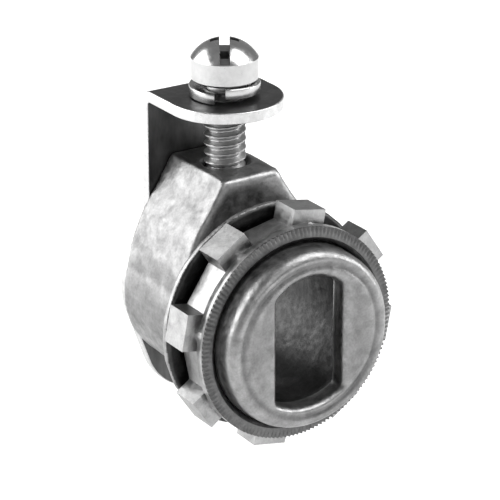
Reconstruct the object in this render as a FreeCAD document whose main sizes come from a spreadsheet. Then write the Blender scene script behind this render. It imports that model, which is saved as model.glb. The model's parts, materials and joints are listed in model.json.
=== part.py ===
"""Saddle-clamp conduit connector: die-cast body, locknut, steel saddle, clamp screw and lock washer.

Frame: origin at the centre of the flange's front face, on the hub axis.
-Y points through the box wall, +Y towards the conduit, +Z up to the clamp screw.
In a formula, <name> stands for the sheet's cell of that name.
"""
import FreeCAD, Part
import math
import os

import Sketcher

DIMENSIONS = (
    # casting: hub, flange and barrel
    ("hub_radius", 10.64),
    ("hub_length", 8.8),
    ("lead_relief", 0.19),
    ("lead_length", 2.65),
    ("hub_rim_round", 1.25),
    ("flange_shoulder", 2.61),
    ("flange_rim", 1.1),
    ("flange_sweep", 3.3),
    ("flange_edge_round", 0.35),
    ("bore_radius", 8.3),
    ("barrel_wall", 1.95),
    ("barrel_length", 14.6),
    ("bore_mouth_chamfer", 0.5),
    ("stop_thickness", 2.6),
    # wire opening through the end stop
    ("opening_half_width", 4.35),
    ("opening_floor_ledge", 0.35),
    ("opening_crown_ledge", 0.8),
    ("opening_arch_rise", 1.9),
    ("opening_corner_round", 0.8),
    ("opening_lip_round", 1.0),
    # screw boss on top of the barrel
    ("boss_height", 15.7),
    ("boss_half_width", 3.64),
    ("boss_front", 3.2),
    ("boss_edge_round", 0.3),
    ("knee_half_width", 5.6),
    ("knee_height", 12.3),
    ("flank_round", 18.6),
    ("flank_inset", 0.3),
    # locknut
    ("nut_gap", 0.75),
    ("nut_length", 5.3),
    ("nut_clearance", 0.06),
    ("nut_mouth_chamfer", 0.5),
    ("crown_wall", 1.7),
    ("crown_length", 1.25),
    ("flat_wall", 0.9),
    ("lug_reach", 3.1),
    ("lug_width", 4.2),
    ("lug_length", 3.6),
    ("lug_first_angle", 34),
    ("tooth_width", 0.3),
    ("tooth_depth", 0.28),
    ("tooth_run", 0.85),
    # steel saddle
    ("strap_thickness", 1.3),
    ("strap_half_width", 6.6),
    ("strap_gap", 0.15),
    ("bend_round", 0.5),
    ("tab_lift", 6.5),
    ("eye_wall", 1.4),
    ("eye_blend", 2.5),
    ("foot_radius", 7.3),
    ("foot_drop", 7.1),
    # clamp screw
    ("screw_place", 8.9),
    ("screw_radius", 2.38),
    ("screw_length", 12.7),
    ("screw_clearance", 0.06),
    ("screw_mouth_chamfer", 0.35),
    ("tab_hole_clearance", 0.3),
    ("screw_end_chamfer", 0.5),
    ("head_radius", 3.8),
    ("head_side", 2.6),
    ("head_height", 4.7),
    ("driver_slot_width", 1.15),
    ("driver_slot_depth", 2.0),
    ("driver_angle", 58),
    ("cross_half_length", 2.3),
    ("cross_half_width", 0.5),
    ("cross_depth", 2.9),
    # split lock washer
    ("washer_clearance", 0.17),
    ("washer_wall", 1.45),
    ("washer_thickness", 1.2),
    ("washer_rise", 0.65),
    ("washer_turn", 0.95),
    ("washer_split_angle", 221),
    ("washer_play", 0.03),
)
LUG_COUNT = 8
TOOTH_COUNT = 144
SAME = 1e-4  # two lengths closer than this are the same length

# sizes and places that follow from those, each used more than once
LEAD_RADIUS = "(<hub_radius> - <lead_relief>)"
FLANGE_RADIUS = "(<hub_radius> + <flange_shoulder>)"
BARREL_RADIUS = "(<bore_radius> + <barrel_wall>)"
NUT_BORE = "(<hub_radius> + <nut_clearance>)"
CROWN_RADIUS = f"({NUT_BORE} + <crown_wall>)"
LUG_RADIUS = f"({NUT_BORE} + <lug_reach>)"
WASHER_INNER = "(<screw_radius> + <washer_clearance>)"
WASHER_OUTER = f"({WASHER_INNER} + <washer_wall>)"
TAB_UNDERSIDE = "(<boss_height> + <tab_lift>)"
LEG_FRONT = "(<barrel_length> + <strap_gap> - <screw_place>)"
HEAD_SEAT = (f"({TAB_UNDERSIDE} + <strap_thickness> + <washer_thickness>"
             " + <washer_rise> + 2 * <washer_play>)")

doc = FreeCAD.newDocument("ConduitConnector")
sheet = doc.addObject("Spreadsheet::Sheet", "Sheet")
for row, (alias, size) in enumerate(DIMENSIONS, start=1):
    sheet.set(f"A{row}", alias)
    sheet.set(f"B{row}", str(size))
    sheet.setAlias(f"B{row}", alias)
doc.recompute()


def on_sheet(formula):
    return str(formula).replace("<", "Sheet.").replace(">", "")


def value(formula):
    """The number that a formula gives now."""
    return float(sheet.evalExpression(on_sheet(formula)))


def bind(thing, prop, formula):
    thing.setExpression(prop, on_sheet(formula))


# ---------------------------------------------------------------- sketches

def new_body(label):
    body = doc.addObject("PartDesign::Body", label)
    body.Label = label
    return body


def origin_part(body, role):
    return next(f for f in body.Origin.OriginFeatures if f.Role == role)


def new_sketch(body, name, plane, offset="0", turn="0"):
    """A sketch on one of the body's own planes, moved along its normal and turned in the plane.
    On XZ_Plane the normal is -Y."""
    sketch = body.newObject("Sketcher::SketchObject", name)
    sketch.AttachmentSupport = [(origin_part(body, plane), "")]
    sketch.MapMode = "FlatFace"
    sketch.AttachmentOffset = FreeCAD.Placement(
        FreeCAD.Vector(0, 0, value(offset)),
        FreeCAD.Rotation(FreeCAD.Vector(0, 0, 1), value(turn)))
    bind(sketch, "AttachmentOffset.Base.z", offset)
    bind(sketch, "AttachmentOffset.Rotation.Angle", turn)
    return sketch


def constrain(sketch, kind, places, formula):
    constraint = Sketcher.Constraint(kind, *places, value(formula))
    index = sketch.addConstraint(constraint)
    bind(sketch, f"Constraints[{index}]", formula)


def pin_point(sketch, geometry, end, across, up):
    """Hold a point of a line, arc or circle at the place that two formulas give."""
    constrain(sketch, "DistanceX", (-1, 1, geometry, end), across)
    constrain(sketch, "DistanceY", (-1, 1, geometry, end), up)


def arc_between(start, end, radius, side):
    """The shorter arc from start to end; side is 1 where its centre lies to the left of the way
    from start to end, and -1 to the right."""
    chord = end - start
    middle = (start + end) * 0.5
    reach = math.sqrt(max(radius ** 2 - (chord.Length / 2) ** 2, 0))
    left = FreeCAD.Vector(-chord.y, chord.x, 0).normalize()
    centre = middle + left * (side * reach)
    first, last = (start, end) if side > 0 else (end, start)
    angles = [math.atan2(p.y - centre.y, p.x - centre.x) for p in (first, last)]
    circle = Part.Circle(centre, FreeCAD.Vector(0, 0, 1), radius)
    return Part.ArcOfCircle(circle, *angles)


def draw_outline(sketch, corners):
    """A closed outline, each corner held by formulas. A corner is (across, up), or
    (across, up, radius, side) where an arc leaves it for the next corner."""
    spots = [FreeCAD.Vector(value(c[0]), value(c[1]), 0) for c in corners]
    ends = []
    for k, corner in enumerate(corners):
        start, end = spots[k], spots[(k + 1) % len(corners)]
        if len(corner) == 2:
            geometry = sketch.addGeometry(Part.LineSegment(start, end))
            ends.append((geometry, 1, 2))
        else:
            radius, side = corner[2:]
            geometry = sketch.addGeometry(arc_between(start, end, value(radius), side))
            constrain(sketch, "Radius", (geometry,), radius)
            ends.append((geometry, 1, 2) if side > 0 else (geometry, 2, 1))
    for k, corner in enumerate(corners):
        geometry, first, last = ends[k]
        following = ends[(k + 1) % len(corners)]
        sketch.addConstraint(Sketcher.Constraint("Coincident", geometry, last, *following[:2]))
        pin_point(sketch, geometry, first, corner[0], corner[1])


def draw_circle(sketch, radius, across="0", up="0"):
    centre = FreeCAD.Vector(value(across), value(up), 0)
    circle = sketch.addGeometry(Part.Circle(centre, FreeCAD.Vector(0, 0, 1), value(radius)))
    constrain(sketch, "Radius", (circle,), radius)
    pin_point(sketch, circle, 3, across, up)


def mirrored(half):
    """A whole outline from its right half, which runs from the top to the bottom. A run on the
    left half has the arc of its twin on the right."""
    half = [tuple(corner) for corner in half]
    on_axis = abs(value(half[-1][0])) < SAME
    if on_axis:
        half[-1] = half[-1][:2] + half[-2][2:]
    back = []
    for k in reversed(range(len(half) - on_axis)):
        across, up = half[k][:2]
        if abs(value(across)) > SAME:
            back.append((f"-({across})", up) + (half[k - 1][2:] if k else ()))
    return half + back


# ---------------------------------------------------------------- features

def revolve(body, sketch, axis, name):
    turned = body.newObject("PartDesign::Revolution", name)
    turned.Profile = sketch
    turned.ReferenceAxis = (sketch, [axis])
    turned.Angle = 360
    doc.recompute()
    return turned


def pad(body, sketch, length, name, midplane=False):
    """Material along the sketch's normal, or half each way."""
    feature = body.newObject("PartDesign::Pad", name)
    feature.Profile = sketch
    feature.SideType = "Symmetric" if midplane else "One side"
    bind(feature, "Length", length)
    doc.recompute()
    return feature


def pocket(body, sketch, length, name, along_normal=False):
    """Cut against the sketch's normal, or along it. It has to take material away."""
    before = body.Shape.Volume
    feature = body.newObject("PartDesign::Pocket", name)
    feature.Profile = sketch
    feature.Reversed = along_normal
    bind(feature, "Length", length)
    doc.recompute()
    if body.Shape.Volume > before - SAME:
        raise RuntimeError(f"{name} cuts nothing")
    return feature


def around_axis(body, feature, axis, count, name):
    pattern = body.newObject("PartDesign::PolarPattern", name)
    pattern.Originals = [feature]
    pattern.Axis = (origin_part(body, axis), [""])
    pattern.Angle = 360
    pattern.Occurrences = count
    body.Tip = pattern
    doc.recompute()
    return pattern


def dress(body, kind, wanted, prop, size, name):
    """Round or chamfer the edges of the body's last shape that a test picks."""
    edges = [f"Edge{k}" for k, edge in enumerate(body.Shape.Edges, start=1) if wanted(edge)]
    if not edges:
        raise RuntimeError(f"{name} finds no edge")
    last = body.Tip
    feature = body.newObject(kind, name)
    feature.Base = (last, edges)
    bind(feature, prop, size)
    doc.recompute()
    return feature


def fillet(body, wanted, size, name):
    return dress(body, "PartDesign::Fillet", wanted, "Radius", size, name)


def chamfer(body, wanted, size, name):
    return dress(body, "PartDesign::Chamfer", wanted, "Size", size, name)


def is_ring(edge, radius, along):
    """A circle of this radius about the Y axis, at this place along it."""
    curve = edge.Curve
    return (isinstance(curve, Part.Circle) and abs(curve.Radius - value(radius)) < SAME
            and abs(curve.Center.y - value(along)) < SAME
            and math.hypot(curve.Center.x, curve.Center.z) < SAME)


def lies_at(edge, direction, place):
    """Every point of the edge has this coordinate."""
    wanted = value(place)
    return all(abs(getattr(p, direction) - wanted) < SAME for p in edge.discretize(4))


# ---------------------------------------------------------------- casting

def make_connector_body():
    body = new_body("connector_body")
    turn_hub_and_barrel(body)
    add_screw_boss(body)
    cut_passage(body)
    round_casting(body)
    return body


def turn_hub_and_barrel(body):
    """Hub with a plain lead in front of its thread, flange and barrel, with a hollow sweep from
    the flange's rim down to the barrel."""
    thread_start = "(<hub_length> - <lead_length>)"
    centre_rise = f"({BARREL_RADIUS} + <flange_sweep> - {FLANGE_RADIUS})"
    sweep_end = f"(<flange_rim> + sqrt(<flange_sweep> ^ 2 - {centre_rise} ^ 2))"
    sketch = new_sketch(body, "turned_profile", "YZ_Plane")
    draw_outline(sketch, [
        ("-<hub_length>", "0"),
        ("-<hub_length>", LEAD_RADIUS),
        (f"-{thread_start}", LEAD_RADIUS),
        (f"-{thread_start} + <lead_relief>", "<hub_radius>"),
        ("0", "<hub_radius>"),
        ("0", FLANGE_RADIUS),
        ("<flange_rim>", FLANGE_RADIUS, "<flange_sweep>", 1),
        (sweep_end, BARREL_RADIUS),
        ("<barrel_length>", BARREL_RADIUS),
        ("<barrel_length>", "0"),
    ])
    revolve(body, sketch, "H_Axis", "hub_flange_barrel")


def add_screw_boss(body):
    """The boss has a flat top, drafted cheeks and full flanks that run down into the barrel."""
    sketch = new_sketch(body, "boss_section", "XZ_Plane", "-<barrel_length>")
    draw_outline(sketch, mirrored([
        ("<boss_half_width>", "<boss_height>"),
        ("<knee_half_width>", "<knee_height>", "<flank_round>", -1),
        (f"{BARREL_RADIUS} - <flank_inset>", "0"),
    ]))
    pad(body, sketch, "<barrel_length> - <boss_front>", "screw_boss")


def cut_passage(body):
    """Conduit bore from the rear, wire opening through the end stop, screw hole from the top."""
    sketch = new_sketch(body, "bore_circle", "XZ_Plane", "-<barrel_length>")
    draw_circle(sketch, "<bore_radius>")
    depth = "<barrel_length> + <hub_length> - <stop_thickness>"
    pocket(body, sketch, depth, "conduit_bore", along_normal=True)

    crown_level = "(<bore_radius> - <opening_crown_ledge>)"
    arch_radius = ("(<opening_half_width> ^ 2 + <opening_arch_rise> ^ 2)"
                   " / (2 * <opening_arch_rise>)")
    floor_radius = "(<bore_radius> - <opening_floor_ledge>)"
    foot_level = f"-sqrt({floor_radius} ^ 2 - <opening_half_width> ^ 2)"
    sketch = new_sketch(body, "opening_outline", "XZ_Plane", "<hub_length>")
    draw_outline(sketch, mirrored([
        ("0", crown_level, arch_radius, -1),
        ("<opening_half_width>", f"{crown_level} - <opening_arch_rise>"),
        ("<opening_half_width>", foot_level, floor_radius, -1),
    ]))
    pocket(body, sketch, "<stop_thickness>", "wire_opening")

    sketch = new_sketch(body, "screw_hole_circle", "XY_Plane", "<boss_height>")
    draw_circle(sketch, "<screw_radius> + <screw_clearance>", up="<screw_place>")
    pocket(body, sketch, "<boss_height>", "screw_hole")


def round_casting(body):
    fillet(body, lambda e: is_ring(e, LEAD_RADIUS, "-<hub_length>"), "<hub_rim_round>",
           "hub_rim")
    fillet(body, lambda e: is_ring(e, FLANGE_RADIUS, "0")
           or is_ring(e, FLANGE_RADIUS, "<flange_rim>"), "<flange_edge_round>", "flange_edges")
    half_width = value("<opening_half_width>")
    fillet(body, lambda e: abs(e.Length - value("<stop_thickness>")) < SAME
           and all(abs(abs(p.x) - half_width) < SAME for p in e.discretize(4)),
           "<opening_corner_round>", "opening_corners")
    fillet(body, lambda e: lies_at(e, "y", "-<hub_length>")
           and all(abs(p.x) < half_width + SAME for p in e.discretize(4)),
           "<opening_lip_round>", "opening_lip")
    fillet(body, lambda e: lies_at(e, "z", "<boss_height>") and not isinstance(e.Curve, Part.Circle),
           "<boss_edge_round>", "boss_edges")
    chamfer(body, lambda e: lies_at(e, "z", "<boss_height>") and isinstance(e.Curve, Part.Circle),
            "<screw_mouth_chamfer>", "screw_mouth")
    chamfer(body, lambda e: is_ring(e, "<bore_radius>", "<barrel_length>"), "<bore_mouth_chamfer>",
            "bore_mouth")


# ---------------------------------------------------------------- locknut

def make_locknut():
    """Its own origin is the centre of its back face; the toothed crown is at the front."""
    body = new_body("locknut")
    step = 360 / LUG_COUNT
    corner_radius = f"(({NUT_BORE} + <flat_wall>) / cos({step / 2} deg))"
    sketch = new_sketch(body, "nut_flats", "XZ_Plane", turn="<lug_first_angle>")
    draw_outline(sketch, [
        (f"{corner_radius} * cos({-step * k} deg)", f"{corner_radius} * sin({-step * k} deg)")
        for k in range(LUG_COUNT)
    ])
    pad(body, sketch, "<nut_length> - <crown_length>", "flats")

    sketch = new_sketch(body, "crown_circle", "XZ_Plane", "<nut_length> - <crown_length>")
    draw_circle(sketch, CROWN_RADIUS)
    pad(body, sketch, "<crown_length>", "crown")

    sketch = new_sketch(body, "lug_outline", "XZ_Plane", turn="<lug_first_angle>")
    draw_outline(sketch, [
        ("<hub_radius>", "<lug_width> / 2"),
        (LUG_RADIUS, "<lug_width> / 2"),
        (LUG_RADIUS, "-<lug_width> / 2"),
        ("<hub_radius>", "-<lug_width> / 2"),
    ])
    lug = pad(body, sketch, "<lug_length>", "lug")
    around_axis(body, lug, "Y_Axis", LUG_COUNT, "lugs")

    sketch = new_sketch(body, "nut_bore_circle", "XZ_Plane", "<nut_length>")
    draw_circle(sketch, NUT_BORE)
    pocket(body, sketch, "<nut_length>", "nut_bore")
    chamfer(body, lambda e: is_ring(e, NUT_BORE, "-<nut_length>"), "<nut_mouth_chamfer>",
            "nut_mouth")

    sketch = new_sketch(body, "tooth_gap_outline", "XZ_Plane", "<nut_length>")
    draw_outline(sketch, [
        (f"{CROWN_RADIUS} - <tooth_run>", "0"),
        (f"{CROWN_RADIUS} + <tooth_run>", "<tooth_width>"),
        (f"{CROWN_RADIUS} + <tooth_run>", "-<tooth_width>"),
    ])
    gap = pocket(body, sketch, "<tooth_depth>", "tooth_gap")
    around_axis(body, gap, "Y_Axis", TOOTH_COUNT, "crown_teeth")
    bind(body, "Placement.Base.y", "-<nut_gap>")
    return body


# ---------------------------------------------------------------- saddle

def make_clamp_saddle():
    """A bent strap: a tab under the screw head, and a leg with an eye that the conduit goes
    through. Its own origin is the centre of the screw hole on the tab's underside."""
    body = new_body("clamp_saddle")
    add_leg(body)
    add_bend_and_tab(body)
    sketch = new_sketch(body, "tab_hole_circle", "XY_Plane", "<strap_thickness>")
    draw_circle(sketch, "<screw_radius> + <tab_hole_clearance>")
    pocket(body, sketch, "<strap_thickness>", "tab_hole")
    sketch = new_sketch(body, "eye_circle", "XZ_Plane", f"-{LEG_FRONT}")
    draw_circle(sketch, "<bore_radius>", up=f"-{TAB_UNDERSIDE}")
    pocket(body, sketch, "<strap_thickness>", "eye_hole")
    bind(body, "Placement.Base.y", "<screw_place>")
    bind(body, "Placement.Base.z", TAB_UNDERSIDE)
    return body


def add_leg(body):
    """The leg widens to an eye round the hub axis and ends in a round foot below it. The eye and
    the foot are joined by the straight lines that touch both circles."""
    eye_radius = "(<bore_radius> + <eye_wall>)"
    lean = f"asin(({eye_radius} - <foot_radius>) / <foot_drop>)"
    eye_top = f"-{TAB_UNDERSIDE} + sqrt({eye_radius} ^ 2 - <strap_half_width> ^ 2)"
    foot_centre = f"-{TAB_UNDERSIDE} - <foot_drop>"
    sketch = new_sketch(body, "leg_outline", "XZ_Plane", f"-({LEG_FRONT} + <strap_thickness>)")
    draw_outline(sketch, mirrored([
        ("<strap_half_width>", "-<bend_round>"),
        ("<strap_half_width>", eye_top, eye_radius, -1),
        (f"{eye_radius} * cos({lean})", f"-{TAB_UNDERSIDE} - {eye_radius} * sin({lean})"),
        (f"<foot_radius> * cos({lean})", f"{foot_centre} - <foot_radius> * sin({lean})",
         "<foot_radius>", -1),
    ]))
    pad(body, sketch, "<strap_thickness>", "leg")
    fillet(body, lambda e: lies_at(e, "z", eye_top) and e.Length < value("<strap_thickness>") + SAME,
           "<eye_blend>", "eye_blends")


def add_bend_and_tab(body):
    sketch = new_sketch(body, "bend_section", "YZ_Plane")
    draw_outline(sketch, [
        (f"{LEG_FRONT} - <bend_round>", "<strap_thickness>", "<strap_thickness> + <bend_round>", -1),
        (f"{LEG_FRONT} + <strap_thickness>", "-<bend_round>"),
        (LEG_FRONT, "-<bend_round>", "<bend_round>", 1),
        (f"{LEG_FRONT} - <bend_round>", "0"),
    ])
    pad(body, sketch, "2 * <strap_half_width>", "bend", midplane=True)

    sketch = new_sketch(body, "tab_outline", "XY_Plane")
    draw_outline(sketch, mirrored([
        ("<strap_half_width>", f"{LEG_FRONT} - <bend_round>"),
        ("<strap_half_width>", "0", "<strap_half_width>", -1),
        ("0", "-<strap_half_width>"),
    ]))
    pad(body, sketch, "<strap_thickness>", "tab")


# ---------------------------------------------------------------- screw and washer

def make_clamp_screw():
    """Its own origin is the centre of the head's underside; the shank runs down from it."""
    body = new_body("clamp_screw")
    dome = "(<head_height> - <head_side>)"
    sketch = new_sketch(body, "screw_profile", "XZ_Plane")
    draw_outline(sketch, [
        ("0", "<head_height>", f"(<head_radius> ^ 2 + {dome} ^ 2) / (2 * {dome})", -1),
        ("<head_radius>", "<head_side>"),
        ("<head_radius>", "0"),
        ("<screw_radius>", "0"),
        ("<screw_radius>", "-(<screw_length> - <screw_end_chamfer>)"),
        ("<screw_radius> - <screw_end_chamfer>", "-<screw_length>"),
        ("0", "-<screw_length>"),
    ])
    revolve(body, sketch, "V_Axis", "head_and_shank")

    sketch = new_sketch(body, "slot_outline", "XY_Plane", "<head_height>", "<driver_angle>")
    draw_outline(sketch, [
        ("2 * <head_radius>", "<driver_slot_width> / 2"),
        ("2 * <head_radius>", "-<driver_slot_width> / 2"),
        ("-2 * <head_radius>", "-<driver_slot_width> / 2"),
        ("-2 * <head_radius>", "<driver_slot_width> / 2"),
    ])
    pocket(body, sketch, "<driver_slot_depth>", "driver_slot")

    arm, half = "<cross_half_length>", "<cross_half_width>"
    sketch = new_sketch(body, "cross_outline", "XY_Plane", "<head_height>", "<driver_angle>")
    draw_outline(sketch, mirrored([
        (half, arm), (half, half), (arm, half), (arm, f"-{half}"), (half, f"-{half}"),
        (half, f"-{arm}"),
    ]))
    pocket(body, sketch, "<cross_depth>", "cross_recess")
    bind(body, "Placement.Base.y", "<screw_place>")
    bind(body, "Placement.Base.z", HEAD_SEAT)
    return body


def make_lock_washer():
    """One turn of square wire that rises from the tab to the screw head, left-handed so that its
    ends bite when the screw is turned back. Its own origin is the centre of its lower side."""
    body = new_body("lock_washer")
    sketch = new_sketch(body, "wire_section", "XZ_Plane")
    draw_outline(sketch, [
        (WASHER_INNER, "<washer_thickness>"),
        (WASHER_OUTER, "<washer_thickness>"),
        (WASHER_OUTER, "0"),
        (WASHER_INNER, "0"),
    ])
    coil = body.newObject("PartDesign::AdditiveHelix", "coil")
    coil.Profile = sketch
    coil.ReferenceAxis = (sketch, ["V_Axis"])
    coil.Mode = "pitch-turns-angle"
    coil.LeftHanded = True
    bind(coil, "Pitch", "<washer_rise> / <washer_turn>")
    bind(coil, "Turns", "<washer_turn>")
    upward = FreeCAD.Vector(0, 0, 1)
    split = "<washer_split_angle>"
    body.Placement = FreeCAD.Placement(
        FreeCAD.Vector(0, 0, 0), FreeCAD.Rotation(upward, value(split)))
    bind(body, "Placement.Rotation.Angle", split)
    bind(body, "Placement.Base.y", "<screw_place>")
    bind(body, "Placement.Base.z", f"{TAB_UNDERSIDE} + <strap_thickness> + <washer_play>")
    doc.recompute()
    return body


# ---------------------------------------------------------------- build and write

def check_and_write(bodies):
    for thing in doc.Objects:
        if any(state in ("Invalid", "Error") for state in thing.State):
            raise RuntimeError(f"{thing.Name} failed: {thing.State}")
    for body in bodies:
        if body.Shape.isNull() or not body.Shape.isValid() or len(body.Shape.Solids) != 1:
            raise RuntimeError(f"{body.Label} is not one sound solid")
    os.makedirs("parts", exist_ok=True)
    for body in bodies:
        body.Shape.exportStep(f"parts/{body.Label}.step")
        box = body.Shape.BoundBox
        print(f"{body.Label}: {body.Shape.Volume:.1f} mm3, X {box.XMin:.2f}..{box.XMax:.2f}, "
              f"Y {box.YMin:.2f}..{box.YMax:.2f}, Z {box.ZMin:.2f}..{box.ZMax:.2f}")


pieces = [
    make_connector_body(),
    make_locknut(),
    make_clamp_saddle(),
    make_clamp_screw(),
    make_lock_washer(),
]
doc.recompute()
check_and_write(pieces)
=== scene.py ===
# %% Load the frame
import json
import math

import bmesh
import bpy
from mathutils import Matrix, Vector, noise


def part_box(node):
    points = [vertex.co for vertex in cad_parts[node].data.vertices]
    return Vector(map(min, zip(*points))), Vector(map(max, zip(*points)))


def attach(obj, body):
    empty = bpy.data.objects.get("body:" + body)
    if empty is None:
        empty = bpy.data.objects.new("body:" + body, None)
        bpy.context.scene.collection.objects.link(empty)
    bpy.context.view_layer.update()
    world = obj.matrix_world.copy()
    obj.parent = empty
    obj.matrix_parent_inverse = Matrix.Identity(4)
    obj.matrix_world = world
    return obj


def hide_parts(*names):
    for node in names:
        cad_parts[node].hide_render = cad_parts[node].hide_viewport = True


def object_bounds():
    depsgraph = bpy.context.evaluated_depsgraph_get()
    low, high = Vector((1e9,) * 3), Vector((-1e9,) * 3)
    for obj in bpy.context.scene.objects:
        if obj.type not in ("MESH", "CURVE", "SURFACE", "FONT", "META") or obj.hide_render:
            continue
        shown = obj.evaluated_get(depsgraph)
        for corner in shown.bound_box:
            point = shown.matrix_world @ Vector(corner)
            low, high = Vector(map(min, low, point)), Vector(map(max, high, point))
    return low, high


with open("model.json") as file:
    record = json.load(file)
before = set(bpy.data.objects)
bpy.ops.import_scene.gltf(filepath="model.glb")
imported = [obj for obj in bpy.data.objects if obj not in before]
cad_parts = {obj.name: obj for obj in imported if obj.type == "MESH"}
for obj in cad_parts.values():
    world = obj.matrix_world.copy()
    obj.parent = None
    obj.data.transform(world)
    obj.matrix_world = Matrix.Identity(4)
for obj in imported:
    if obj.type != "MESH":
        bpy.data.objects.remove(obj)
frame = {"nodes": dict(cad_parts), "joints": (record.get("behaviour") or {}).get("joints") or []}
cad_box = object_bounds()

MM = 0.001
scene = bpy.context.scene
print("nodes:", sorted(frame["nodes"]))

# %% [markdown]
# ## A die-cast conduit connector
# The object is a small electrician's fitting of five pieces: a zinc die casting, the locknut on
# its hub, a bent steel saddle, the screw that draws the saddle down and a split lock washer.
# The CAD frame already holds every piece at its real size. This lesson gives each one the edges,
# threads and casting marks that its process leaves, and then a finish.
# Every mesh is worked on in millimetres and scaled to metres as its last step.

# %% Camera
VIEW_AZIMUTH = math.radians(-32.95)
VIEW_ELEVATION = math.radians(22.25)
VIEW_DISTANCE = 272.85 * MM
LENS = 179.75
FRAMING_RIGHT = -6.815 * MM
FRAMING_UP = 10.087 * MM
CLIP_START = 10 * MM

back = Vector((math.sin(VIEW_AZIMUTH) * math.cos(VIEW_ELEVATION),
               -math.cos(VIEW_AZIMUTH) * math.cos(VIEW_ELEVATION),
               math.sin(VIEW_ELEVATION)))
right = Vector((math.cos(VIEW_AZIMUTH), math.sin(VIEW_AZIMUTH), 0))
up = back.cross(right)
hub_front = Vector((0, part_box("connector_body")[0].y, 0))
target = hub_front + right * FRAMING_RIGHT + up * FRAMING_UP

lens_data = bpy.data.cameras.new("camera")
lens_data.lens = LENS
lens_data.clip_start = CLIP_START
camera = bpy.data.objects.new("camera", lens_data)
scene.collection.objects.link(camera)
camera.matrix_world = (Matrix.Translation(target + back * VIEW_DISTANCE)
                       @ Matrix((right, up, back)).transposed().to_4x4())
scene.camera = camera
print("camera at", [round(c, 4) for c in camera.matrix_world.translation])

# %% [markdown]
# ## Studio
# Polished and plated metal shows mostly what stands around it. One large soft box on the left
# gives the long bright reflections, one high on the right draws thin lines of light along edges
# that face up, and two weak ones keep the rest readable. The world is kept dim, so that faces turned
# away from the boxes stay dark. The floor is a plain pale sheet, just low enough for the saddle to
# clear it at the bottom of its travel.

# %% Floor, world and lights
FLOOR_GAP = 0.02 * MM
FLOOR_HALF_SIDE = 1.5
FLOOR_GREY = 0.94
FLOOR_ROUGHNESS = 0.95
FLOOR_SHINE = 0.1
FLOOR_GLOW = 0.2
WORLD_GREY = 0.32
WHITE = (1, 1, 1, 1)
# name, azimuth and elevation in degrees, distance, width and height in metres, power in watts
SOFT_BOXES = (
    ("key_left", -125, 24, 0.40, 0.50, 0.40, 2.6),
    ("top_right", 52, 55, 0.70, 0.50, 0.50, 3.6),
    ("fill_front", -10, 30, 0.70, 0.20, 0.20, 0.6),
    ("fill_right", 68, 12, 0.50, 0.16, 0.30, 1.1),
)
scene.view_settings.view_transform = "Standard"


def object_from(bm, name, material=None, scale=1.0):
    """Turn a bmesh into an object that sits at the origin."""
    bmesh.ops.scale(bm, verts=bm.verts, vec=(scale, scale, scale))
    mesh = bpy.data.meshes.new(name)
    bm.to_mesh(mesh)
    bm.free()
    made = bpy.data.objects.new(name, mesh)
    scene.collection.objects.link(made)
    if material:
        made.data.materials.append(material)
    return made


def floor_material():
    material = bpy.data.materials.new("pale_floor")
    material.use_nodes = True
    shader = material.node_tree.nodes["Principled BSDF"]
    shader.inputs["Base Color"].default_value = (FLOOR_GREY, FLOOR_GREY, FLOOR_GREY, 1)
    shader.inputs["Roughness"].default_value = FLOOR_ROUGHNESS
    shader.inputs["Specular IOR Level"].default_value = FLOOR_SHINE
    shader.inputs["Emission Color"].default_value = WHITE
    shader.inputs["Emission Strength"].default_value = FLOOR_GLOW
    return material


def add_floor(level):
    bm = bmesh.new()
    bmesh.ops.create_grid(bm, x_segments=1, y_segments=1, size=FLOOR_HALF_SIDE)
    bmesh.ops.translate(bm, verts=bm.verts, vec=(0, 0, level))
    object_from(bm, "floor", floor_material())


def soft_box(name, azimuth, elevation, distance, width, height, power):
    """An area light that looks at the part from a direction given like the camera's."""
    a, e = math.radians(azimuth), math.radians(elevation)
    away = Vector((math.sin(a) * math.cos(e), -math.cos(a) * math.cos(e), math.sin(e)))
    data = bpy.data.lights.new(name, "AREA")
    data.shape = "RECTANGLE"
    data.size = width
    data.size_y = height
    data.energy = power
    light = bpy.data.objects.new(name, data)
    light.matrix_world = (Matrix.Translation(away * distance)
                          @ away.to_track_quat("Z", "Y").to_matrix().to_4x4())
    scene.collection.objects.link(light)


def studio_world():
    """Dim to everything but the camera, which sees a white backdrop."""
    scene.world = bpy.data.worlds.new("studio")
    scene.world.use_nodes = True
    tree = scene.world.node_tree
    dim = tree.nodes["Background"]
    dim.inputs["Color"].default_value = (WORLD_GREY, WORLD_GREY, WORLD_GREY, 1)
    backdrop = tree.nodes.new("ShaderNodeBackground")
    backdrop.inputs["Color"].default_value = WHITE
    ray = tree.nodes.new("ShaderNodeLightPath")
    mix = tree.nodes.new("ShaderNodeMixShader")
    tree.links.new(ray.outputs["Is Camera Ray"], mix.inputs["Fac"])
    tree.links.new(dim.outputs[0], mix.inputs[1])
    tree.links.new(backdrop.outputs[0], mix.inputs[2])
    tree.links.new(mix.outputs[0], tree.nodes["World Output"].inputs["Surface"])


saddle_travel = next(j for j in frame["joints"] if j["name"] == "saddle_drop")["range_m"][1]
add_floor(cad_box[0][2] - saddle_travel - FLOOR_GAP)
studio_world()
for box in SOFT_BOXES:
    soft_box(*box)

# %% [markdown]
# ## A finish for bare metal
# All five pieces are metal, so their finishes share one set of nodes. The Principled shader is
# fully metallic, and what tells a casting from a plated screw is the detail: how dark it is, how
# much the grey drifts from place to place, how rough it is, and how deep the pits are.
# The nodes read Object coordinates, so the pattern is fixed in the metal and has a real scale.

# %% Shader nodes
FINE_STEP = 7
FINE_SHARE = 0.3
WIDE_SHARE = 0.7
ROUGHNESS_STEP = 2.5
# Range of the casting's tone multiplier: the low end is painted shade in hollows, the bore and
# behind the nut, the high end is wear on ridges.
WEAR_AND_PAINTED_SHADE = (0.2, 1.7)


def add_node(tree, kind, **settings):
    node = tree.nodes.new(kind)
    for name, setting in settings.items():
        setattr(node, name, setting)
    return node


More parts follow.
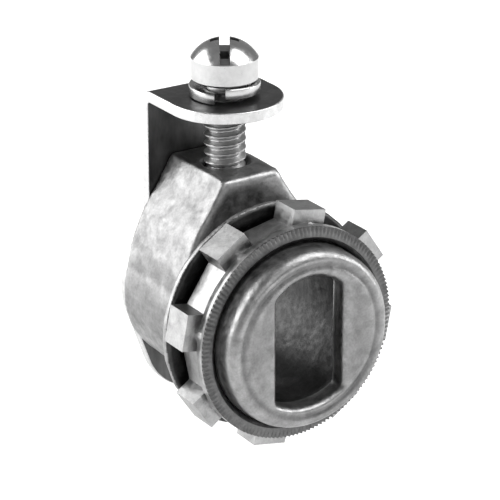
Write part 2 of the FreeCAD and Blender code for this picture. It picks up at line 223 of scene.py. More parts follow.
def speckle(tree, place, per_mm, detail=3.0, distortion=0.0):
    """Noise whose lumps are about 1 / per_mm millimetres across."""
    node = add_node(tree, "ShaderNodeTexNoise")
    node.inputs["Scale"].default_value = per_mm / MM
    node.inputs["Detail"].default_value = detail
    node.inputs["Distortion"].default_value = distortion
    tree.links.new(place, node.inputs["Vector"])
    return node.outputs["Fac"]


def spread(tree, fac, low, high, first=0.3, last=0.7):
    """Map the useful middle of a noise to a range."""
    node = add_node(tree, "ShaderNodeMapRange", clamp=True)
    node.inputs["From Min"].default_value = first
    node.inputs["From Max"].default_value = last
    node.inputs["To Min"].default_value = low
    node.inputs["To Max"].default_value = high
    tree.links.new(fac, node.inputs["Value"])
    return node.outputs["Result"]


def combine(tree, operation, a, b):
    node = add_node(tree, "ShaderNodeMath", operation=operation)
    for socket, source in zip(node.inputs, (a, b)):
        if isinstance(source, (int, float)):
            socket.default_value = source
        else:
            tree.links.new(source, socket)
    return node.outputs[0]


# The low end of this range is painted shade, the high end wear.
print("a casting's wear shades its grey by", WEAR_AND_PAINTED_SHADE)

# %% Metal finishes
def metal(name, grey, drift, roughness, bumps, stretch=(1, 1, 1), wear=None):
    """grey and roughness are (dark, light) pairs, drift is how many mottles fit in a millimetre
    and bumps is a list of (lumps per mm, height in mm, strength). The last argument names a mesh
    attribute that darkens the metal where it is 0, which is painted shade, and brightens it where
    it is 1, which is wear on ridges."""
    material = bpy.data.materials.new(name)
    material.use_nodes = True
    tree = material.node_tree
    shader = tree.nodes["Principled BSDF"]
    shader.inputs["Metallic"].default_value = 1.0
    coordinates = add_node(tree, "ShaderNodeTexCoord")
    mapping = add_node(tree, "ShaderNodeMapping")
    mapping.inputs["Scale"].default_value = stretch
    tree.links.new(coordinates.outputs["Object"], mapping.inputs["Vector"])
    place = mapping.outputs["Vector"]

    wide = speckle(tree, place, drift, 4.0, 0.6)
    fine = speckle(tree, place, drift * FINE_STEP, 2.0)
    blotches = combine(tree, "ADD", combine(tree, "MULTIPLY", wide, WIDE_SHARE),
                       combine(tree, "MULTIPLY", fine, FINE_SHARE))
    shade = spread(tree, blotches, *grey)
    # Painted shade and wear from a mesh attribute: darker in hollows, the bore and behind the nut,
    # brighter on ridges.
    if wear:
        kept = add_node(tree, "ShaderNodeAttribute", attribute_name=wear)
        shade = combine(tree, "MULTIPLY", shade,
                        spread(tree, kept.outputs["Fac"], *WEAR_AND_PAINTED_SHADE, first=0, last=1))
    colour = add_node(tree, "ShaderNodeCombineColor")
    for channel in ("Red", "Green", "Blue"):
        tree.links.new(shade, colour.inputs[channel])
    tree.links.new(colour.outputs["Color"], shader.inputs["Base Color"])
    sheen = speckle(tree, place, drift * ROUGHNESS_STEP)
    tree.links.new(spread(tree, sheen, *roughness), shader.inputs["Roughness"])

    normal = None
    for per_mm, height, strength in bumps:
        bump = add_node(tree, "ShaderNodeBump")
        bump.inputs["Distance"].default_value = height * MM
        bump.inputs["Strength"].default_value = strength
        tree.links.new(speckle(tree, place, per_mm), bump.inputs["Height"])
        if normal:
            tree.links.new(normal, bump.inputs["Normal"])
        normal = bump.outputs["Normal"]
    if normal:
        tree.links.new(normal, shader.inputs["Normal"])
    return material


# The casting reads the attribute: worn ridges lighter, painted shade in hollows, the bore and behind
# the nut.
cast_zinc = metal("cast_zinc", (0.15, 0.30), 0.55, (0.30, 0.50),
                  [(0.5, 0.20, 0.35), (2.2, 0.06, 0.35), (7.0, 0.02, 0.4)], wear="wear")
nut_zinc = metal("nut_zinc", (0.24, 0.42), 0.6, (0.28, 0.46),
                 [(0.9, 0.10, 0.35), (5.0, 0.02, 0.5)])
# A darker copy of the nut's zinc for its toothed front face: painted shade.
nut_front_painted_shade = metal("nut_front_painted_shade", (0.09, 0.17), 1.0, (0.34, 0.52),
                      [(5.0, 0.02, 0.5)])
dark_steel = metal("dark_steel", (0.07, 0.13), 0.4, (0.34, 0.50),
                   [(1.0, 0.03, 0.3), (9.0, 0.008, 0.4)], stretch=(1, 1, 0.35))
sheared_edge = metal("sheared_edge", (0.46, 0.64), 1.2, (0.25, 0.40),
                     [(3.0, 0.02, 0.5)])
plated_steel = metal("plated_steel", (0.40, 0.52), 0.5, (0.16, 0.28),
                     [(0.8, 0.03, 0.35)])
plated_thread = metal("plated_thread", (0.30, 0.42), 0.8, (0.34, 0.46),
                      [(6.0, 0.01, 0.4)])
# A darker copy of the plated steel for the driver recess: painted shade.
recess_painted_shade = metal("recess_painted_shade", (0.14, 0.26), 1.0, (0.30, 0.45),
                     [(4.0, 0.01, 0.4)])
print("finishes:", sorted(m.name for m in bpy.data.materials))

# %% [markdown]
# ## Working on a copy of a CAD piece
# The frame's own meshes are never touched. Where the shape is right and only its edges are too
# perfect, a copy is welded, its flat faces are joined again from their triangles, and a Bevel
# modifier rounds what is still sharp. Hardened normals keep the flat faces flat in the light.

# %% Helpers for welded copies
WELD = 0.002
FLAT_ANGLE = math.radians(0.6)
SHARP_ANGLE = math.radians(28)


def welded_copy(node):
    """A CAD node's mesh as one closed bmesh in millimetres."""
    bm = bmesh.new()
    bm.from_mesh(frame["nodes"][node].data)
    bmesh.ops.scale(bm, verts=bm.verts, vec=(1 / MM, 1 / MM, 1 / MM))
    bmesh.ops.remove_doubles(bm, verts=bm.verts, dist=WELD)
    return bm


def join_flat_faces(bm):
    bmesh.ops.dissolve_limit(bm, angle_limit=FLAT_ANGLE, verts=bm.verts, edges=bm.edges,
                             delimit={"MATERIAL"})


def add_bevel(piece, width, segments=2):
    bevel = piece.modifiers.new("edge_round", "BEVEL")
    bevel.limit_method = "ANGLE"
    bevel.angle_limit = SHARP_ANGLE
    bevel.width = width * MM
    bevel.segments = segments
    bevel.use_clamp_overlap = True
    bevel.harden_normals = True


def smooth(piece, angle=SHARP_ANGLE):
    piece.data.shade_smooth()
    piece.data.set_sharp_from_angle(angle=angle)


def size_of(piece):
    return f"{piece.name}: {len(piece.data.vertices)} vertices, {len(piece.data.polygons)} faces"


print("points closer than", WELD, "mm are welded")

# %% [markdown]
# ## Screw threads
# A thread is a ridge that climbs while it turns. The simplest sound way to make one is to spin a
# straight line of points into a sleeve and then move each point in or out by a formula: the
# distance along the axis, less the part of a turn that its angle stands for, says where in the
# ridge's profile it is. The same helper cuts the hub, the locknut's bore and the clamp screw.

# %% The thread helper
def thread_profile(share, flat=0.12):
    """Depth from 0 at the crest to 1 at the root, for a share of one pitch."""
    away = abs(share % 1.0 - 0.5) * 2
    return min(max((away - flat) / (1 - 2 * flat), 0), 1)


def thread_sleeve(crest, depth, pitch, start, end, turns_steps, rows_per_pitch, fade_start=0.0,
                  fade_end=0.0):
    """An open threaded sleeve about +Z from start to end. A positive depth cuts inwards and a
    negative one outwards. The thread dies out over the two fades."""
    bm = bmesh.new()
    rows = max(2, round((end - start) / pitch * rows_per_pitch))
    line = [bm.verts.new((crest, 0, start + (end - start) * k / rows)) for k in range(rows + 1)]
    edges = [bm.edges.new(pair) for pair in zip(line, line[1:])]
    bmesh.ops.spin(bm, geom=line + edges, cent=(0, 0, 0), axis=(0, 0, 1), angle=math.tau,
                   steps=turns_steps, use_merge=True, use_duplicate=False)
    for vert in bm.verts:
        turn = math.atan2(vert.co.y, vert.co.x) / math.tau
        ease = 1.0
        if fade_start:
            ease = min(ease, (vert.co.z - start) / fade_start)
        if fade_end:
            ease = min(ease, (end - vert.co.z) / fade_end)
        cut = depth * thread_profile(vert.co.z / pitch - turn) * max(ease, 0)
        reach = (crest - cut) / crest
        vert.co.x *= reach
        vert.co.y *= reach
    return bm


print("thread depth over half a pitch:", [round(thread_profile(k / 8), 2) for k in range(5)])

# %% [markdown]
# ## Clamp screw
# The screw is a plated No. 10 machine screw with a high rounded head that takes a flat or a cross
# driver. The shank is a threaded sleeve with a chamfered tip, closed top and bottom. The head is
# a spun profile, and boxes cut its slot and its cross before the edges are rounded.

# %% Clamp screw: sizes
screw_low, screw_high = (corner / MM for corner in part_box("clamp_screw"))
SCREW_Y = (screw_low.y + screw_high.y) / 2
SCREW_LENGTH = 12.7
SCREW_RADIUS = 2.38
SCREW_PITCH = 25.4 / 24
SCREW_THREAD_DEPTH = 0.52
SCREW_TIP = 0.5
SCREW_EDGE_ROUND = 0.07
SHANK_STEPS = 56
SHANK_ROWS = 14
HEAD_SEAT = screw_low.z + SCREW_LENGTH
HEAD_RADIUS = (screw_high.x - screw_low.x) / 2
HEAD_HEIGHT = 4.7
HEAD_SIDE = 2.6
HEAD_SEAT_CHAMFER = 0.25
HEAD_STEPS = 96
DOME_STEPS = 18
DOME_RADIUS = (HEAD_RADIUS ** 2 + (HEAD_HEIGHT - HEAD_SIDE) ** 2) / (2 * (HEAD_HEIGHT - HEAD_SIDE))
DRIVER_ANGLE = math.radians(58)
SLOT_WIDTH = 1.15
SLOT_DEPTH = 2.0
CROSS_LENGTH = 4.6
CROSS_WIDTH = 1.0
CROSS_DEPTH = 2.9
CROSS_TAPER = (0.55, 0.9, 1)
RECESS_SKIN = 0.1
RECESS_FLOOR = 0.05
HEAD, SHANK, RECESS = 0, 1, 2
print("head", round(2 * HEAD_RADIUS, 2), "mm across, dome radius", round(DOME_RADIUS, 2), "mm")


# %% Clamp screw: shank
def close_ends(bm):
    bmesh.ops.holes_fill(bm, edges=[e for e in bm.edges if e.is_boundary], sides=0)
    bmesh.ops.recalc_face_normals(bm, faces=bm.faces)


def screw_shank():
    bm = thread_sleeve(SCREW_RADIUS, SCREW_THREAD_DEPTH, SCREW_PITCH, 0, SCREW_LENGTH, SHANK_STEPS,
                       SHANK_ROWS, fade_end=SCREW_PITCH)
    for vert in bm.verts:
        widest = SCREW_RADIUS - SCREW_TIP + vert.co.z
        radius = math.hypot(vert.co.x, vert.co.y)
        if radius > widest:
            vert.co.x *= widest / radius
            vert.co.y *= widest / radius
    close_ends(bm)
    bmesh.ops.translate(bm, verts=bm.verts, vec=(0, SCREW_Y, screw_low.z))
    return bm


print("the shank has", round(SCREW_LENGTH / SCREW_PITCH, 1), "turns of thread")


# %% Clamp screw: head and driver recess
def spun(profile, steps):
    """A closed solid about +Z from a profile that starts and ends on the axis."""
    bm = bmesh.new()
    verts = [bm.verts.new(point) for point in profile]
    edges = [bm.edges.new(pair) for pair in zip(verts, verts[1:])]
    bmesh.ops.spin(bm, geom=verts + edges, cent=(0, 0, 0), axis=(0, 0, 1), angle=math.tau,
                   steps=steps, use_merge=True, use_duplicate=False)
    bmesh.ops.remove_doubles(bm, verts=bm.verts, dist=WELD)
    bmesh.ops.recalc_face_normals(bm, faces=bm.faces)
    return bm


def box_between(bm, low, high):
    made = bmesh.ops.create_cube(bm, size=1)["verts"]
    bmesh.ops.scale(bm, verts=made, vec=[h - l for l, h in zip(low, high)])
    bmesh.ops.translate(bm, verts=made, vec=[(l + h) / 2 for l, h in zip(low, high)])
    return made


def head_blank():
    """Seat with a bevelled rim, straight side and dome."""
    centre = HEAD_HEIGHT - DOME_RADIUS
    widest = math.asin(HEAD_RADIUS / DOME_RADIUS)
    angles = [widest * k / DOME_STEPS for k in range(DOME_STEPS, -1, -1)]
    arc = [(DOME_RADIUS * math.sin(a), 0, centre + DOME_RADIUS * math.cos(a)) for a in angles]
    arc[-1] = (0, 0, HEAD_HEIGHT)
    seat = [(0, 0, 0), (HEAD_RADIUS - HEAD_SEAT_CHAMFER, 0, 0), (HEAD_RADIUS, 0, HEAD_SEAT_CHAMFER)]
    return spun(seat + arc, HEAD_STEPS)


def driver_cutters():
    bm = bmesh.new()
    box_between(bm, (-HEAD_RADIUS * 2, -SLOT_WIDTH / 2, HEAD_HEIGHT - SLOT_DEPTH),
                (HEAD_RADIUS * 2, SLOT_WIDTH / 2, HEAD_HEIGHT * 2))
    for turn in (0, math.pi / 2):
        arm = box_between(bm, (-CROSS_LENGTH / 2, -CROSS_WIDTH / 2, HEAD_HEIGHT - CROSS_DEPTH),
                          (CROSS_LENGTH / 2, CROSS_WIDTH / 2, HEAD_HEIGHT * 2))
        floor_side = [v for v in arm if v.co.z < HEAD_HEIGHT]
        bmesh.ops.scale(bm, verts=floor_side, vec=CROSS_TAPER)
        bmesh.ops.rotate(bm, verts=arm, cent=(0, 0, 0),
                         matrix=Matrix.Rotation(turn, 3, "Z"))
    bmesh.ops.rotate(bm, verts=bm.verts, cent=(0, 0, 0),
                     matrix=Matrix.Rotation(DRIVER_ANGLE, 3, "Z"))
    return bm


def cut(piece, cutter):
    """Take the cutter out of a piece and delete the cutter."""
    knife = piece.modifiers.new("cut", "BOOLEAN")
    knife.operation = "DIFFERENCE"
    knife.solver = "EXACT"
    knife.use_self = True
    knife.object = cutter
    shapes = bpy.context.evaluated_depsgraph_get()
    result = bpy.data.meshes.new_from_object(piece.evaluated_get(shapes))
    piece.modifiers.clear()
    piece.data = result
    bpy.data.objects.remove(cutter)


def in_driver_recess(face):
    """A wall or floor of the slot or the cross: well below the dome and above their deepest."""
    middle = face.calc_center_median()
    below_dome = DOME_RADIUS - (middle - Vector((0, 0, HEAD_HEIGHT - DOME_RADIUS))).length
    return below_dome > RECESS_SKIN and middle.z > HEAD_HEIGHT - CROSS_DEPTH - RECESS_FLOOR


print("driver slot", SLOT_WIDTH, "mm wide, cross", CROSS_DEPTH, "mm deep")


# %% Clamp screw: head and shank together
def make_clamp_screw():
    head = object_from(head_blank(), "head_blank")
    cut(head, object_from(driver_cutters(), "driver_cutters"))
    bm = bmesh.new()
    bm.from_mesh(head.data)
    bmesh.ops.remove_doubles(bm, verts=bm.verts, dist=WELD)
    # The walls and floor of the slot and the cross take the darker recess finish, as painted shade.
    for face in bm.faces:
        face.material_index = RECESS if in_driver_recess(face) else HEAD
    join_flat_faces(bm)
    bmesh.ops.translate(bm, verts=bm.verts, vec=(0, SCREW_Y, HEAD_SEAT))
    bpy.data.objects.remove(head)
    shank = screw_shank()
    for face in shank.faces:
        face.material_index = SHANK
    shank_mesh = bpy.data.meshes.new("shank")
    shank.to_mesh(shank_mesh)
    shank.free()
    bm.from_mesh(shank_mesh)
    screw = object_from(bm, "threaded_clamp_screw", plated_steel, MM)
    screw.data.materials.append(plated_thread)
    screw.data.materials.append(recess_painted_shade)
    smooth(screw)
    add_bevel(screw, SCREW_EDGE_ROUND)
    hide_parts("clamp_screw")
    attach(screw, "screw")
    print(size_of(screw))


make_clamp_screw()

# %% [markdown]
# ## Lock washer
# A split washer is one turn of square wire, pulled a little open like a spring. Spinning the
# wire's section with a step along the axis gives that slope, and the two ends are then closed.
# It climbs left-handed, so that its ends dig in when the screw tries to come loose.

# %% Lock washer
washer_low, washer_high = (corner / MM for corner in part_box("lock_washer"))
WASHER_OUTER = 4.0
WASHER_INNER = 2.55
WASHER_THICKNESS = 1.2
WASHER_TURN = 0.95
WASHER_ROUND = 0.14
WASHER_SPLIT = math.radians(221)
WASHER_STEPS = 96
STUB_HALF = 0.5


def make_lock_washer():
    """A stub of wire is rounded lengthwise, its end is kept, and that outline is spun."""
    rise = washer_high.z - washer_low.z - WASHER_THICKNESS
    bm = bmesh.new()
    box_between(bm, (WASHER_INNER, -STUB_HALF, 0), (WASHER_OUTER, STUB_HALF, WASHER_THICKNESS))
    lengthwise = [e for e in bm.edges if abs(e.verts[0].co.y - e.verts[1].co.y) > STUB_HALF]
    bmesh.ops.bevel(bm, geom=lengthwise, offset=WASHER_ROUND, segments=3, profile=0.5,
                    affect="EDGES", material=-1)
    bmesh.ops.delete(bm, geom=[f for f in bm.faces if f.calc_center_median().y > WELD - STUB_HALF],
                     context="FACES")
    end_face = bm.faces[:]
    bmesh.ops.translate(bm, verts=bm.verts, vec=(0, STUB_HALF, 0))
    outline = list(bm.verts) + list(bm.edges)
    bmesh.ops.delete(bm, geom=end_face, context="FACES_ONLY")
    bmesh.ops.spin(bm, geom=outline, cent=(0, 0, 0), axis=(0, 0, 1),
                   dvec=(0, 0, rise / WASHER_STEPS), angle=-WASHER_TURN * math.tau,
                   steps=WASHER_STEPS, use_merge=False, use_duplicate=False)
    close_ends(bm)
    bmesh.ops.rotate(bm, verts=bm.verts, cent=(0, 0, 0),
                     matrix=Matrix.Rotation(WASHER_SPLIT, 3, "Z"))
    bmesh.ops.translate(bm, verts=bm.verts, vec=(0, SCREW_Y, washer_low.z))
    washer = object_from(bm, "split_lock_washer", plated_steel, MM)
    smooth(washer)
    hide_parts("lock_washer")
    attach(washer, "washer")
    print(size_of(washer))


make_lock_washer()

# %% [markdown]
# ## Steel saddle
# The saddle is pressed out of sheet and bent once. The press leaves bright sheared walls all
# round it, while the rolled surfaces stay dark, so the walls get a finish of their own.

# %% Clamp saddle
saddle_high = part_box("clamp_saddle")[1] / MM
STRAP_THICKNESS = 1.3
BEND_ROUND = 0.5
SADDLE_EDGE_ROUND = 0.13
WALL_TILT = 0.3
SIDE_FACING = 0.8
leg_front = saddle_high.y - STRAP_THICKNESS
tab_underside = saddle_high.z - STRAP_THICKNESS


def is_sheared(face):
    """A wall through the sheet, told by which way it faces in the tab, the bend and the leg."""
    middle, normal = face.calc_center_median(), face.normal
    if middle.z < tab_underside - BEND_ROUND:
        return abs(normal.y) < WALL_TILT
    if middle.y < leg_front - BEND_ROUND:
        return abs(normal.z) < WALL_TILT
    return abs(normal.x) > SIDE_FACING


def make_saddle():
    bm = welded_copy("clamp_saddle")
    bm.normal_update()
    for face in bm.faces:
        face.material_index = int(is_sheared(face))
    join_flat_faces(bm)
    saddle = object_from(bm, "bent_saddle", dark_steel, MM)
    saddle.data.materials.append(sheared_edge)
    smooth(saddle)
    add_bevel(saddle, SADDLE_EDGE_ROUND, 3)
    saddle.modifiers["edge_round"].material = 1
    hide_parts("clamp_saddle")
    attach(saddle, "saddle")
    print(size_of(saddle))


make_saddle()

# %% [markdown]
# ## Locknut
# The nut is cast in two easily told parts: eight flats with short lugs behind, and a round crown
# in front whose edge carries a ring of fine teeth that bite into the box wall. The back part is a
# welded copy, cut off just behind the nut's mouth and rounded. The crown is spun fresh, with every
# tooth four steps wide, and the bore gets its thread.

# %% Locknut: sizes
nut_low, nut_high = (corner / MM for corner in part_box("locknut"))
HUB_RADIUS = 10.64
HUB_PITCH = 25.4 / 14
NUT_BORE = HUB_RADIUS + 0.06
NUT_THREAD_DEPTH = 0.42
NUT_MOUTH = 0.5
CROWN_RADIUS = 12.4
TOOTH_COUNT = 144
STEPS_PER_TOOTH = 4
TOOTH_DEPTH = 0.28
TOOTH_RUN = 0.85
NUT_JOINT = NUT_MOUTH + 0.05
NUT_CORNER = 0.2
SEAM = 0.04
RIM_REACH = 0.2
BORE_SLACK = 0.02
THREAD_STEPS = 128
NUT_THREAD_ROWS = 12
NUT_THREAD_FADE = 0.6
print("nut", round(nut_high.y - nut_low.y, 2), "mm long,", TOOTH_COUNT, "teeth")


# %% Locknut: back and crown
def nut_back(joint):
    """Flats and lugs, without their smooth bore."""
    bm = welded_copy("locknut")
    bmesh.ops.bisect_plane(bm, geom=bm.verts[:] + bm.edges[:] + bm.faces[:], dist=WELD,
                           plane_co=(0, joint, 0), plane_no=(0, 1, 0), clear_inner=True)
    in_bore = [f for f in bm.faces if all(math.hypot(v.co.x, v.co.z) < NUT_BORE + BORE_SLACK
                                          for v in f.verts)]
    bmesh.ops.delete(bm, geom=in_bore, context="FACES")
    join_flat_faces(bm)
    corners = [e for e in bm.edges if e.is_convex and e.calc_face_angle(0) > SHARP_ANGLE]
    bmesh.ops.bevel(bm, geom=corners, offset=NUT_CORNER, segments=3, profile=0.5,
                    affect="EDGES", clamp_overlap=True, material=-1)
    return bm


def nut_crown(joint):
    """The toothed front, spun about the hub's axis, with nothing behind the joint."""
    front = nut_low.y
    steps = TOOTH_COUNT * STEPS_PER_TOOTH
    profile = [(CROWN_RADIUS, joint - SEAM), (CROWN_RADIUS, front + TOOTH_DEPTH),
               (CROWN_RADIUS, front), (CROWN_RADIUS - TOOTH_RUN / 2, front),
               (CROWN_RADIUS - TOOTH_RUN, front),
               (NUT_BORE + NUT_MOUTH, front), (NUT_BORE, front + NUT_MOUTH)]
    bm = bmesh.new()
    verts = [bm.verts.new((r, y, 0)) for r, y in profile]
    edges = [bm.edges.new(pair) for pair in zip(verts, verts[1:])]
    bmesh.ops.spin(bm, geom=verts + edges, cent=(0, 0, 0), axis=(0, 1, 0), angle=math.tau,
                   steps=steps, use_merge=True, use_duplicate=False)
    for vert in bm.verts:
        radius = math.hypot(vert.co.x, vert.co.z)
        step = round(math.atan2(vert.co.z, vert.co.x) / math.tau * steps) % STEPS_PER_TOOTH
        on_face = vert.co.y < front + WELD and radius > CROWN_RADIUS - TOOTH_RUN + WELD
        if on_face and step >= STEPS_PER_TOOTH // 2:
            reach = (radius - CROWN_RADIUS + TOOTH_RUN) / TOOTH_RUN
            vert.co.y += TOOTH_DEPTH * reach
    return bm


print("the crown is spun in", TOOTH_COUNT * STEPS_PER_TOOTH, "steps")


# %% Locknut: thread and seams
def merged_meshes(parts, weld):
    """One bmesh from several, with their touching rims welded."""
    whole = bmesh.new()
    for part in parts:
        mesh = bpy.data.meshes.new("part")
        part.to_mesh(mesh)
        part.free()
        whole.from_mesh(mesh)
        bpy.data.meshes.remove(mesh)
    bmesh.ops.remove_doubles(whole, verts=whole.verts, dist=weld)
    return whole


def close_seam(bm, radius, place):
    """Bridge the two open rims that meet about the hub's axis at this radius and place."""
    rims = [e for e in bm.edges if e.is_boundary
            and all(abs(math.hypot(v.co.x, v.co.z) - radius) < RIM_REACH
                    and abs(v.co.y - place) < 2 * SEAM for v in e.verts)]
    bmesh.ops.bridge_loops(bm, edges=rims)


def make_locknut():
    joint = nut_low.y + NUT_JOINT
    bore_start = nut_low.y + NUT_MOUTH
    thread = thread_sleeve(NUT_BORE, -NUT_THREAD_DEPTH, HUB_PITCH, bore_start + SEAM,
                           nut_high.y - SEAM, THREAD_STEPS, NUT_THREAD_ROWS, NUT_THREAD_FADE,
                           NUT_THREAD_FADE)
    bmesh.ops.rotate(thread, verts=thread.verts, cent=(0, 0, 0),
                     matrix=Matrix.Rotation(-math.pi / 2, 3, "X"))
    bm = merged_meshes([nut_back(joint), nut_crown(joint), thread], WELD)
    for radius, place in ((CROWN_RADIUS, joint), (NUT_BORE, bore_start), (NUT_BORE, nut_high.y)):
        close_seam(bm, radius, place)
    bmesh.ops.recalc_face_normals(bm, faces=bm.faces)
    # The toothed front face takes the darker zinc copy, as painted shade.
    for face in bm.faces:
        face.material_index = int(face.calc_center_median().y < nut_low.y + TOOTH_DEPTH)
    print("open edges of the nut:", sum(e.is_boundary for e in bm.edges))
    nut = object_from(bm, "cast_locknut", nut_zinc, MM)
    nut.data.materials.append(nut_front_painted_shade)
    smooth(nut)
    nut.modifiers.new("flat_faces", "WEIGHTED_NORMAL").keep_sharp = True
    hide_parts("locknut")
    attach(nut, "nut")
    print(size_of(nut))


make_locknut()

# %% [markdown]
# ## Die casting
# A die casting has no sharp edges: the metal shrinks, the corners of the die wear, and the part is
# tumbled. So the copy of the casting gets its hub thread first, and is then remeshed into small
# even faces, which lets the corners be smoothed a little everywhere and a good deal more in the
# valley in front of the screw boss.

# %% Casting: sizes
HUB_THREAD_DEPTH = 0.75
CAST_VOXEL = 0.235
CAST_SMOOTHING = 3
VALLEY_SMOOTHING = 14
BOSS_SMOOTHING = 8
barrel_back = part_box("connector_body")[1].y / MM
BOSS_FRONT = 3.2
FLANGE_RIM = 1.1
BORE_RADIUS = 8.3
hub_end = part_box("connector_body")[0].y / MM
BORE_END = hub_end + 2.4
HUB_THREAD_ROWS = 14
HUB_FRONT_FADE = 0.5
HUB_BACK_FADE = 0.3
VALLEY_FRONT = FLANGE_RIM + 0.2
VALLEY_FOOT = 3
VALLEY_RADIUS = 9.5
BOSS_EDGE_REACH = 0.9
BOSS_EDGE_FOOT = -1
BOSS_EDGE_RADIUS = 10.6
SMOOTHING_STEP = 0.5
print("hub front at", round(hub_end, 2), "mm, barrel back at", round(barrel_back, 2), "mm")


# %% Casting: thread, remesh and smoothing
def applied(piece):
    """The piece's mesh with its modifiers applied, as a bmesh; the piece is deleted."""
    shapes = bpy.context.evaluated_depsgraph_get()
    result = bpy.data.meshes.new_from_object(piece.evaluated_get(shapes))
    bm = bmesh.new()
    bm.from_mesh(result)
    bpy.data.objects.remove(piece)
    bpy.data.meshes.remove(result)
    return bm


def hub_radius_at(vert):
    return math.hypot(vert.co.x, vert.co.z)


def threaded_casting():
    bm = welded_copy("connector_body")
    on_hub = [f for f in bm.faces
              if all(abs(hub_radius_at(v) - HUB_RADIUS) < BORE_SLACK and v.co.y < BORE_SLACK
                     for v in f.verts)]
    rim = [v.co.y for f in on_hub for v in f.verts]
    start, end = min(rim), max(rim)
    bmesh.ops.delete(bm, geom=on_hub, context="FACES")
    thread = thread_sleeve(HUB_RADIUS, HUB_THREAD_DEPTH, HUB_PITCH, start + SEAM, end - SEAM,
                           THREAD_STEPS, HUB_THREAD_ROWS, HUB_FRONT_FADE, HUB_BACK_FADE)
    bmesh.ops.rotate(thread, verts=thread.verts, cent=(0, 0, 0),
                     matrix=Matrix.Rotation(-math.pi / 2, 3, "X"))
    whole = merged_meshes([bm, thread], WELD)
    for side in (start, end):
        close_seam(whole, HUB_RADIUS, side)
    bmesh.ops.recalc_face_normals(whole, faces=whole.faces)
    return whole


def remeshed(bm):
    piece = object_from(bm, "casting_blank")
    remesh = piece.modifiers.new("even_faces", "REMESH")
    remesh.mode = "VOXEL"
    remesh.voxel_size = CAST_VOXEL
    return applied(piece)


def in_valley(vert):
    """In front of the boss, behind the flange's rim and above the hub's axis."""
    place = vert.co
    return (VALLEY_FRONT < place.y < BOSS_FRONT + BOSS_EDGE_REACH and place.z > VALLEY_FOOT
            and hub_radius_at(vert) > VALLEY_RADIUS)


def on_boss_front(vert):
    """Near the outline of the boss's front face, where the die has worn round."""
    place = vert.co
    return (abs(place.y - BOSS_FRONT) < BOSS_EDGE_REACH and place.z > BOSS_EDGE_FOOT
            and hub_radius_at(vert) > BOSS_EDGE_RADIUS)


def relax(bm, verts, rounds):
    for _ in range(rounds):
        bmesh.ops.smooth_vert(bm, verts=verts, factor=SMOOTHING_STEP, use_axis_x=True,
                              use_axis_y=True, use_axis_z=True)


cast = threaded_casting()
print("open edges after the thread:", sum(e.is_boundary for e in cast.edges))
cast = remeshed(cast)
relax(cast, cast.verts, CAST_SMOOTHING)
relax(cast, [v for v in cast.verts if on_boss_front(v)], BOSS_SMOOTHING)
valley = [v for v in cast.verts if in_valley(v)]
relax(cast, valley, VALLEY_SMOOTHING)
print("casting:", len(cast.verts), "vertices,", len(valley), "of them in the valley")

# %% [markdown]
# ## Casting marks
# The same fine mesh carries what the die leaves: a slightly uneven skin, a thin broken ridge where
# the die's two halves meet, and a shallow groove round the hub's end. Each is a small formula of a
# point's place. They are added along the normals in one pass, and the groove along the hub's axis.
# After that the places where other pieces run are trimmed clear.

# %% Casting marks: sizes and formulas
CAST_WAVES = ((0.28, 0.055), (0.9, 0.022))
FLASH_HEIGHT = 0.09
FLASH_HALF_WIDTH = 0.16
FLASH_SHARE = 0.6
FLASH_BREAK = 0.8
FLASH_LEAST = 0.15
FLASH_SCALE = 0.5
FLASH_SLICE = 4.0
FLANK_WAVES = 0.10
FLANK_SCALE = 0.42
FLANK_OFFSET = Vector((7, 0, 3))
SKIN_EDGE = 0.3
SKIN_RADIUS = 9.4
THREAD_END = 0.1
THREAD_WALL = 1
THREAD_SHARE = 0.2
GROOVE_RADIUS = 8.85
GROOVE_HALF_WIDTH = 0.36
GROOVE_DEPTH = 0.26
GROOVE_BACK = 1
RELIEF = 0.14
RELIEF_REACH = 0.8
SCREW_HOLE = SCREW_RADIUS + 0.08
SCREW_HOLE_FOOT = BORE_RADIUS - 0.8


def unevenness(place):
    """How far the skin stands out here, in millimetres."""
    return sum(height * noise.noise(place * per_mm) for per_mm, height in CAST_WAVES)


def flash(place):
    """The ridge where the die's halves meet, broken here and there."""
    across = abs(place.z) / FLASH_HALF_WIDTH
    if across >= 1:
        return 0
    slice_place = Vector((place.x, place.y, FLASH_SLICE))
    broken = FLASH_SHARE + FLASH_BREAK * noise.noise(slice_place * FLASH_SCALE)
    return FLASH_HEIGHT * (1 - across ** 2) * max(broken, FLASH_LEAST)


def is_outside(vert):
    """On the skin of the barrel, boss or flange, not in the bore or on the hub."""
    return SKIN_EDGE < vert.co.y < barrel_back - SKIN_EDGE and hub_radius_at(vert) > SKIN_RADIUS


def groove(place):
    """The shallow ring in the hub's end, between its rim and the opening."""
    if place.y > BORE_END - GROOVE_BACK:
        return 0
    across = (math.hypot(place.x, place.z) - GROOVE_RADIUS) / GROOVE_HALF_WIDTH
    return GROOVE_DEPTH * math.exp(-across ** 2)


print("the parting ridge is", FLASH_HEIGHT, "mm high, the groove", GROOVE_DEPTH, "mm deep")

# %% Casting marks: one pass over the mesh
cast.normal_update()
moves = []
for vert in cast.verts:
    out = unevenness(vert.co)
    if is_outside(vert):
        out += FLANK_WAVES * noise.noise(vert.co * FLANK_SCALE + FLANK_OFFSET)
        out += flash(vert.co)
    in_thread = vert.co.y < THREAD_END and HUB_RADIUS - THREAD_WALL < hub_radius_at(vert)
    moves.append(vert.normal * (out * (THREAD_SHARE if in_thread else 1.0))
                 + Vector((0, groove(vert.co), 0)))
for vert, move in zip(cast.verts, moves):
    vert.co += move
print("furthest move of the skin:", round(max(move.length for move in moves), 3), "mm")


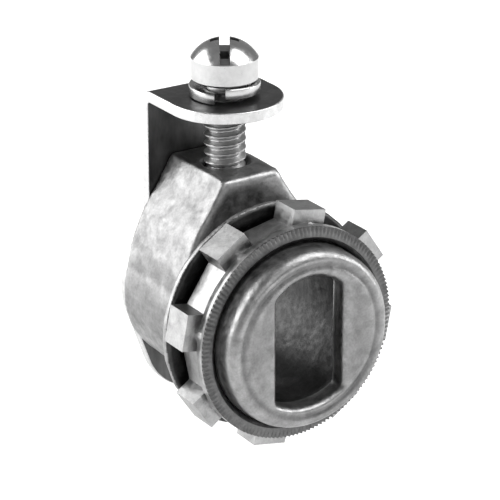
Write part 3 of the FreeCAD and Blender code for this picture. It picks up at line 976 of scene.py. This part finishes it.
# %% Casting marks: room for the moving pieces
def keep_running_fits(bm):
    """Clear the screw's hole, cut a relief into the corner that the nut's back runs up to, and
    let nothing stand past the hub's end."""
    for vert in bm.verts:
        vert.co.y = max(vert.co.y, hub_end)
        radius = hub_radius_at(vert)
        out, ahead = radius - HUB_RADIUS, -vert.co.y
        if all(-RELIEF < reach < RELIEF_REACH for reach in (out, ahead)):
            if out > ahead:
                vert.co.y = RELIEF
            else:
                vert.co.x *= (HUB_RADIUS - RELIEF) / radius
                vert.co.z *= (HUB_RADIUS - RELIEF) / radius
        across = Vector((vert.co.x, vert.co.y - SCREW_Y))
        if vert.co.z > SCREW_HOLE_FOOT and across.length < SCREW_HOLE:
            across *= SCREW_HOLE / across.length
            vert.co.x, vert.co.y = across.x, across.y + SCREW_Y


keep_running_fits(cast)
print("hub front now at", round(min(v.co.y for v in cast.verts), 3), "mm")

# %% [markdown]
# ## Wear and painted shade
# Handled metal is brightest on its ridges, which is wear, and its corners are painted darker, which
# is painted shade. How much a point stands out from its neighbours says which it is, so that number
# is worked out once, smoothed, and stored on the mesh as an attribute that the finish reads.

# %% The wear and painted shade attribute
WEAR_AND_SHADE_ON_FLATS = 0.5
BORE_SKIN = 0.25
NUT_SHADE_BACK = 0.3
NUT_SHADE_FRONT = -1.5


def store_wear_and_shade(bm, name="wear", rounds=3, gain=3.0):
    """0.5 on flats, up to 1 on ridges as wear and down to 0 in hollows as painted shade."""
    bm.normal_update()
    layer = bm.verts.layers.float.new(name)
    rough = {}
    for vert in bm.verts:
        near = [e.other_vert(vert) for e in vert.link_edges]
        rise = sum((vert.co - other.co).normalized().dot(vert.normal) for other in near)
        rough[vert] = rise / max(len(near), 1)
    for _ in range(rounds):
        rough = {vert: (rough[vert] + sum(rough[e.other_vert(vert)] for e in vert.link_edges))
                 / (len(vert.link_edges) + 1) for vert in bm.verts}
    for vert in bm.verts:
        vert[layer] = min(max(WEAR_AND_SHADE_ON_FLATS + gain * rough[vert], 0), 1)


def in_painted_shade(vert):
    """Painted shade: inside the bore and on the flange behind the nut, where shadow falls."""
    in_bore = hub_radius_at(vert) < BORE_RADIUS + BORE_SKIN and vert.co.y > BORE_END
    behind_nut = (NUT_SHADE_FRONT < vert.co.y < NUT_SHADE_BACK
                  and hub_radius_at(vert) > HUB_RADIUS - THREAD_WALL)
    return in_bore or behind_nut


store_wear_and_shade(cast)
wear = cast.verts.layers.float["wear"]
# Painted shade: the bore and the flange face behind the nut get the darkest tone.
for vert in cast.verts:
    if in_painted_shade(vert):
        vert[wear] = 0
casting = object_from(cast, "cast_connector_body", cast_zinc, MM)
smooth(casting, math.pi)
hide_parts("connector_body")
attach(casting, "casting")
print(size_of(casting))
